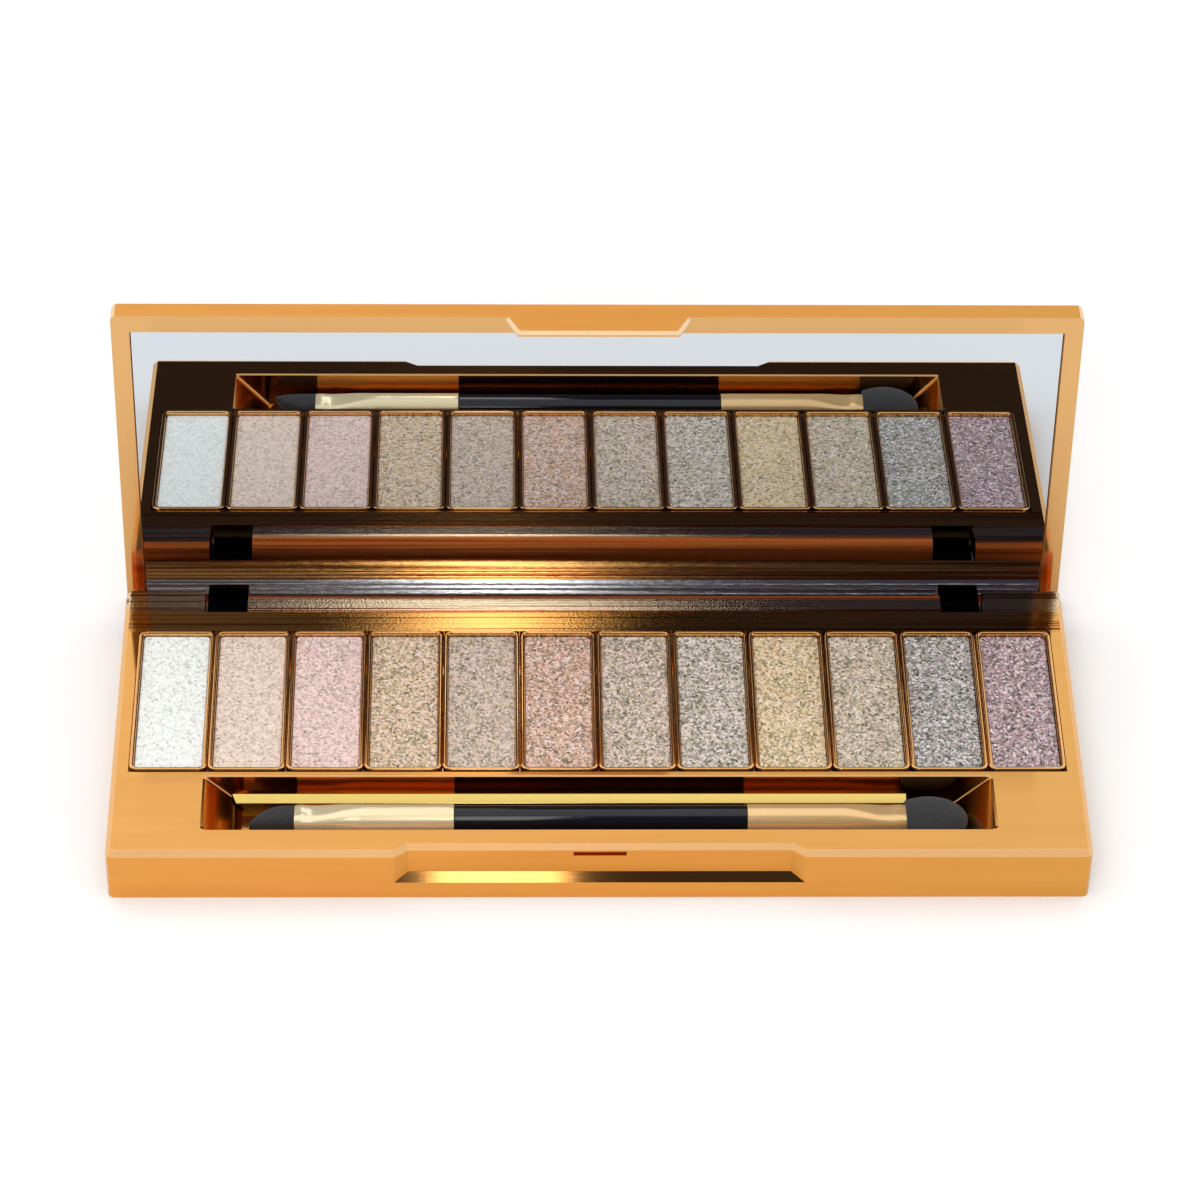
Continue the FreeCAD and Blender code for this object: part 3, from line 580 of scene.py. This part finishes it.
def stamped_gold(name, colour, roughness):
    """Bright stamped metal under the same lacquer."""
    material, tree, shader = new_material(name)
    drawn = noise(tree, STAMPED_CELLS, detail=3.0)
    tree.links.new(shaded(tree, drawn, colour, STAMPED_SHADES), shader.inputs["Base Color"])
    tree.links.new(ranged(tree, drawn, *roughness), shader.inputs["Roughness"])
    shader.inputs["Metallic"].default_value = 1.0
    tree.links.new(bumped(tree, drawn, STAMPED_HEIGHT, STAMPED_STRENGTH), shader.inputs["Normal"])
    return material


def mirror_finish():
    """Silvered glass with a trace of haze."""
    material, tree, shader = new_material("silvered_glass")
    haze = noise(tree, HAZE_CELLS)
    tree.links.new(shaded(tree, haze, SILVERING, HAZE_SHADES), shader.inputs["Base Color"])
    tree.links.new(ranged(tree, haze, *HAZE_ROUGHNESS), shader.inputs["Roughness"])
    shader.inputs["Metallic"].default_value = 1.0
    return material


def moulding_metal(name, light, dark):
    """Grainy drawn metal with darker streaks along the moulding."""
    material, tree, shader = new_material(name)
    streaks = step(tree, noise(tree, MOULDING_STREAK_CELLS, detail=5.0), *MOULDING_STREAKS)
    tree.links.new(tinted(tree, streaks, light, dark), shader.inputs["Base Color"])
    grain = noise(tree, MOULDING_GRAIN_CELLS, detail=4.0)
    tree.links.new(ranged(tree, grain, *MOULDING_ROUGHNESS), shader.inputs["Roughness"])
    shader.inputs["Metallic"].default_value = 1.0
    tree.links.new(bumped(tree, grain, MOULDING_GRAIN_HEIGHT), shader.inputs["Normal"])
    return material


def pressed_powder(name, colour, glitter):
    """Pressed pigment full of fine reflecting flakes that each lie at their own tilt; the lightest
    flakes carry painted glints.
    """
    material, tree, shader = new_material(name)
    flakes = scattered_cells(tree, 1.0 / FLAKE_SIZE)
    own = add(tree, "ShaderNodeSeparateColor")
    tree.links.new(flakes["Color"], own.inputs["Color"])
    base = colour + (1.0,)
    darkest = scaled(base, 1.0 - FLAKE_DARKENING * glitter)
    # Painted highlight: the lightest flakes go towards white, standing for the glints they catch
    painted_glint = tuple(part + (1.0 - part) * FLAKE_PAINTED_GLINT * glitter for part in base)
    others = [(place, scaled(base, 1.0 + change * glitter)) for place, change in FLAKES_BETWEEN]
    pigment = tinted(tree, own.outputs["Red"], darkest, painted_glint, others)
    hues = mixed(tree, FLAKE_HUES * glitter, pigment, flakes["Color"], "SOFT_LIGHT")
    tree.links.new(hues, shader.inputs["Base Color"])
    bright = step(tree, own.outputs["Green"], *BRIGHT_FLAKES)
    metal = ranged(tree, bright, 0.0, FLAKE_METAL * glitter * glitter)
    tree.links.new(metal, shader.inputs["Metallic"])
    tree.links.new(ranged(tree, own.outputs["Blue"], *FLAKE_ROUGHNESS), shader.inputs["Roughness"])
    facing = add(tree, "ShaderNodeNormalMap", space="OBJECT")
    tree.links.new(mixed(tree, FLAKE_TILT, FACING_UP, flakes["Color"]), facing.inputs["Color"])
    tree.links.new(facing.outputs["Normal"], shader.inputs["Normal"])
    return material


def gloss_black():
    """Black gloss of the handle with a trace of dust."""
    material, tree, shader = new_material("gloss_black")
    dust = noise(tree, HANDLE_CELLS)
    tree.links.new(shaded(tree, dust, BLACK_GLOSS, HANDLE_SHADES), shader.inputs["Base Color"])
    tree.links.new(ranged(tree, dust, *HANDLE_ROUGHNESS), shader.inputs["Roughness"])
    shader.inputs["Specular IOR Level"].default_value = HANDLE_SPECULAR
    return material


def bright_ferrule():
    """Drawn gold of the ferrules with painted light, paler towards the left one."""
    material, tree, shader = new_material("bright_ferrule")
    painted_light_across = step(tree, axes_of(tree, "Object")["X"], FERRULE_LEFT_X, FERRULE_RIGHT_X)
    tree.links.new(tinted(tree, painted_light_across, FERRULE_LEFT_PAINTED_LIGHT, FERRULE_RIGHT_PAINTED_SHADE), shader.inputs["Base Color"])
    drawn = noise(tree, FERRULE_CELLS)
    tree.links.new(ranged(tree, drawn, *FERRULE_ROUGHNESS), shader.inputs["Roughness"])
    shader.inputs["Metallic"].default_value = FERRULE_METAL
    tree.links.new(bumped(tree, drawn, FERRULE_HEIGHT, FERRULE_STRENGTH), shader.inputs["Normal"])
    return material


def latex_foam():
    """Matt foam of the tips, mottled and full of pores."""
    material, tree, shader = new_material("latex_foam")
    mottle = noise(tree, FOAM_MOTTLE_CELLS, detail=4.0)
    tree.links.new(shaded(tree, mottle, FOAM, FOAM_SHADES), shader.inputs["Base Color"])
    shader.inputs["Roughness"].default_value = FOAM_ROUGHNESS
    shader.inputs["Sheen Weight"].default_value = FOAM_SHEEN
    pores = scattered_cells(tree, FOAM_PORES_PER_METRE)["Distance"]
    tree.links.new(bumped(tree, pores, FOAM_PIT, FOAM_PIT_STRENGTH), shader.inputs["Normal"])
    return material


def pin_steel():
    """Drawn wire of the hinge pins."""
    material, tree, shader = new_material("pin_steel")
    drawn = noise(tree, PIN_CELLS)
    tree.links.new(shaded(tree, drawn, STEEL, PIN_SHADES), shader.inputs["Base Color"])
    tree.links.new(ranged(tree, drawn, *PIN_ROUGHNESS), shader.inputs["Roughness"])
    shader.inputs["Metallic"].default_value = 1.0
    return material


def foam_tape():
    """White foam of the tape behind the mirror."""
    material, tree, shader = new_material("foam_tape")
    cells = noise(tree, TAPE_CELLS)
    tree.links.new(shaded(tree, cells, TAPE, TAPE_SHADES), shader.inputs["Base Color"])
    shader.inputs["Roughness"].default_value = TAPE_ROUGHNESS
    return material


def paint(material, *names):
    """Gives nodes their only material."""
    for name in names:
        nodes[name].data.materials.clear()
        nodes[name].data.materials.append(material)


def foam_tip(name, node, material):
    """A foam tip made from its solid's shape: evenly remeshed, relaxed and pitted by its pores."""
    piece = bpy.data.objects.new(name, nodes[node].data.copy())
    bpy.context.scene.collection.objects.link(piece)
    remesh = piece.modifiers.new("even", "REMESH")
    remesh.mode = "VOXEL"
    remesh.voxel_size = FOAM_VOXEL
    relax = piece.modifiers.new("relax", "SMOOTH")
    relax.factor = FOAM_RELAXING
    relax.iterations = FOAM_RELAXINGS
    pores = bpy.data.textures.new(name + "_pores", "VORONOI")
    pores.noise_scale = FOAM_PORE
    pits = piece.modifiers.new("pits", "DISPLACE")
    pits.texture = pores
    pits.texture_coords = "LOCAL"
    pits.strength = FOAM_PIT
    pits.mid_level = FOAM_PIT_LEVEL
    depsgraph = bpy.context.evaluated_depsgraph_get()
    shaped = bpy.data.meshes.new_from_object(piece.evaluated_get(depsgraph))
    piece.modifiers.clear()
    piece.data = shaped
    piece.data.materials.clear()
    piece.data.materials.append(material)
    piece.data.shade_smooth()
    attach(piece, "applicator")
    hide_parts(node)


def long_strip(name, outline, ends, material, body):
    """A straight strip along X, whose outline runs from its top over its front to its foot.

    Each of the two ends has a place at the height of the floor and a lean along X with the height.
    """
    count = len(outline)
    corners = [point + Vector((x + lean * point.z, 0.0, 0.0)) for x, lean in ends for point in outline]
    faces = [(i, (i + 1) % count, count + (i + 1) % count, count + i) for i in range(count)]
    faces += [tuple(range(count - 1, -1, -1)), tuple(range(count, 2 * count))]
    mesh = bpy.data.meshes.new(name)
    mesh.from_pydata(corners, [], faces)
    mesh.shade_smooth()
    mesh.set_sharp_from_angle(angle=SHARP_ANGLE)
    mesh.materials.append(material)
    piece = bpy.data.objects.new(name, mesh)
    bpy.context.scene.collection.objects.link(piece)
    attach(piece, body)


def reeded_strip(name, material, foot, top, reeds, slopes):
    """A strip of convex reeds on the mirror's face, whose slope grows downwards over each reed."""
    corners = [vertex.co for vertex in nodes["mirror_glass"].data.vertices]
    lower_edge = min(corners, key=lambda corner: corner.y)
    upper_edge = max(corners, key=lambda corner: corner.z)
    up = Vector((0.0, upper_edge.y - lower_edge.y, upper_edge.z - lower_edge.z)).normalized()
    out = Vector((1.0, 0.0, 0.0)).cross(up)
    pitch = (top - foot) / reeds
    profile = [(top, MOULDING_BACK_GAP)]
    for reed in range(reeds):
        for part in range(ROUND_STEPS + 1):
            fallen = part / ROUND_STEPS
            rise = slopes[0] * fallen + (slopes[1] - slopes[0]) * fallen ** 2 / 2
            forward = MOULDING_BACK_GAP + MOULDING_SKIN + pitch * rise
            profile.append((top - pitch * (reed + fallen), forward))
    profile.append((foot, MOULDING_BACK_GAP))
    origin = Vector((0.0, lower_edge.y, lower_edge.z))
    outline = [origin + up * along + out * forward for along, forward in profile]
    half = max(corner.x for corner in corners) - MOULDING_END_GAP
    long_strip(name, outline, ((-half, 0.0), (half, 0.0)), material, "lid")


def trough_ledge(material):
    """The sloped ledge at the foot of the trough's rear wall, up to where the broad foam tip lies."""
    steepest = math.pi / 2 - LEDGE_SLOPE
    nose_y = LEDGE_WALL_Y - LEDGE_REACH + LEDGE_NOSE
    fall = (LEDGE_WALL_Y - nose_y + LEDGE_NOSE * math.cos(steepest)) * math.tan(LEDGE_SLOPE)
    nose_z = LEDGE_TOP_Z - fall - LEDGE_NOSE * math.sin(steepest)
    turns = [steepest * (1 - part / ROUND_STEPS) for part in range(ROUND_STEPS + 1)]
    outline = [Vector((0.0, LEDGE_WALL_Y, LEDGE_TOP_Z))]
    outline += [Vector((0.0, nose_y - LEDGE_NOSE * math.cos(turn), nose_z + LEDGE_NOSE * math.sin(turn)))
                for turn in turns]
    outline += [Vector((0.0, y, LEDGE_FLOOR_Z)) for y in (LEDGE_WALL_Y - LEDGE_REACH, LEDGE_WALL_Y)]
    ends = ((LEDGE_LEFT, LEDGE_LEFT_LEAN), (LEDGE_RIGHT, 0.0))
    long_strip("trough_ledge", outline, ends, material, "base")


def dress():
    """Gives every node its finish and adds the pieces that are modelled here."""
    base_gold = lacquered_gold("base_gold", base_satin, base_edge_highlight, BASE_EDGE_HIGHLIGHT, base_tone, base_relief)
    paint(base_gold, "base_body", "bottom_cover")
    paint(lacquered_gold("lid_gold", lid_satin, lid_edge_highlight, LID_EDGE_HIGHLIGHT, lid_tone), "lid_shell")
    pan_gold = stamped_gold("pan_gold", PAN_GOLD, PAN_ROUGHNESS)
    paint(mirror_finish(), "mirror_glass")
    gilt = moulding_metal("gilt_moulding", GILT, STREAK_TINT)
    bright = moulding_metal("bright_moulding", BRIGHT_METAL, BRIGHT_METAL_DARK)
    reeded_strip("mirror_foot_gilt", gilt, BEAD_TOP, LIP_TOP, LIP_REEDS, LIP_SLOPES)
    reeded_strip("mirror_foot_bead", bright, BEAD_FOOT, BEAD_TOP, BEAD_REEDS, BEAD_SLOPES)
    trough_ledge(stamped_gold("ledge_gold", LEDGE_GOLD, LEDGE_ROUGHNESS))
    paint(foam_tape(), "mirror_tape")
    paint(pin_steel(), "hinge_pin_left", "hinge_pin_right")
    paint(gloss_black(), "applicator_handle")
    paint(bright_ferrule(), "applicator_ferrule_left", "applicator_ferrule_right")
    for place, (shade, colour, glitter) in enumerate(SHADES, start=1):
        paint(pan_gold, f"pan_{place:02d}")
        paint(pressed_powder("powder_" + shade, colour, glitter), f"powder_{place:02d}")
    foam = latex_foam()
    foam_tip("foam_tip_slanted", "applicator_tip_left", foam)
    foam_tip("foam_tip_oval", "applicator_tip_right", foam)


def stage_floor():
    """A matt white floor that looks a little darker in polished surfaces."""
    mesh = bpy.data.meshes.new("floor")
    half = FLOOR_SIZE / 2
    corners = [(-half, -half, 0.0), (half, -half, 0.0), (half, half, 0.0), (-half, half, 0.0)]
    mesh.from_pydata(corners, [], [(0, 1, 2, 3)])
    floor = bpy.data.objects.new("floor", mesh)
    bpy.context.scene.collection.objects.link(floor)
    material, tree, shader = new_material("floor_white")
    glossy = add(tree, "ShaderNodeLightPath").outputs["Is Glossy Ray"]
    tree.links.new(mixed(tree, glossy, FLOOR_COLOUR, FLOOR_REFLECTED), shader.inputs["Base Color"])
    shader.inputs["Roughness"].default_value = FLOOR_ROUGHNESS
    shader.inputs["Specular IOR Level"].default_value = 0.0
    mesh.materials.append(material)


def studio_world():
    """White all round; polished surfaces also see a dark card that fills the front of the room."""
    world = bpy.data.worlds.new("studio")
    bpy.context.scene.world = world
    world.use_nodes = True
    tree = world.node_tree
    tree.nodes.clear()
    direction = axes_of(tree, "Generated")
    above = step(tree, direction["Z"], CARD_FOOT_SINE, CARD_FOOT_SINE + CARD_EDGE_SOFTNESS)
    below = step(tree, direction["Z"], CARD_TOP_SINE + CARD_EDGE_SOFTNESS, CARD_TOP_SINE)
    ahead = step(tree, direction["Y"], -CARD_FRONT_FROM, -CARD_FRONT_FULL)
    rays = add(tree, "ShaderNodeLightPath")
    glossy = rays.outputs["Is Glossy Ray"]
    card = combined(tree, "MULTIPLY", above, below, ahead, glossy)
    lighter = combined(tree, "MULTIPLY", step(tree, direction["X"], CARD_LIGHT_FROM, CARD_LIGHT_FULL),
                       step(tree, direction["Z"], CARD_LIGHT_LOW_SINE, CARD_LIGHT_HIGH_SINE))
    card_colour = tinted(tree, lighter, CARD_COLOUR, CARD_LIGHT_END)
    seen = combined(tree, "MAXIMUM", rays.outputs["Is Camera Ray"], glossy)
    level = ranged(tree, seen, ROOM_LEVEL, 1.0)
    colour = mixed(tree, card, WHITE, card_colour)
    room = add(tree, "ShaderNodeBackground")
    tree.links.new(colour, room.inputs["Color"])
    tree.links.new(level, room.inputs["Strength"])
    output = add(tree, "ShaderNodeOutputWorld")
    tree.links.new(room.outputs["Background"], output.inputs["Surface"])


def area_lamp(name, place, target, width, height, power, mirrored):
    """A panel lamp facing the target; polished surfaces show it only if mirrored."""
    lamp = bpy.data.lights.new(name, "AREA")
    lamp.shape = "RECTANGLE"
    lamp.size = width
    lamp.size_y = height
    lamp.energy = power
    holder = bpy.data.objects.new(name, lamp)
    holder.visible_camera = False
    holder.visible_glossy = mirrored
    holder.location = place
    holder.rotation_euler = (target - place).to_track_quat("-Z", "Y").to_euler()
    bpy.context.scene.collection.objects.link(holder)


def photo_camera():
    """The camera at the photograph's place, turned by its yaw, pitch and roll."""
    forward = Vector((-math.sin(CAMERA_YAW) * math.cos(CAMERA_PITCH),
                      math.cos(CAMERA_YAW) * math.cos(CAMERA_PITCH), -math.sin(CAMERA_PITCH)))
    level_right = Vector((math.cos(CAMERA_YAW), math.sin(CAMERA_YAW), 0.0))
    level_up = level_right.cross(forward)
    right = math.cos(CAMERA_ROLL) * level_right + math.sin(CAMERA_ROLL) * level_up
    up = math.cos(CAMERA_ROLL) * level_up - math.sin(CAMERA_ROLL) * level_right
    turn = Matrix((right, up, -forward)).transposed()
    data = bpy.data.cameras.new("photo_camera")
    data.lens = CAMERA_LENS_MM
    data.sensor_width = CAMERA_SENSOR_MM
    data.clip_start = CAMERA_NEAR
    camera = bpy.data.objects.new("photo_camera", data)
    camera.matrix_world = Matrix.Translation(CAMERA_PLACE) @ turn.to_4x4()
    bpy.context.scene.collection.objects.link(camera)
    bpy.context.scene.camera = camera


dress()
stage_floor()
studio_world()
middle = (cad_box[0] + cad_box[1]) / 2
area_lamp("softbox", SOFTBOX_PLACE, middle, SOFTBOX_SIZE, SOFTBOX_SIZE, SOFTBOX_POWER, False)
area_lamp("front_fill", FILL_PLACE, middle, FILL_SIZE, FILL_SIZE, FILL_POWER, False)
area_lamp("front_strip", STRIP_PLACE, middle, STRIP_WIDTH, STRIP_HEIGHT, STRIP_POWER, True)
photo_camera()
bpy.context.scene.view_settings.view_transform = "Standard"

bpy.context.view_layer.update()
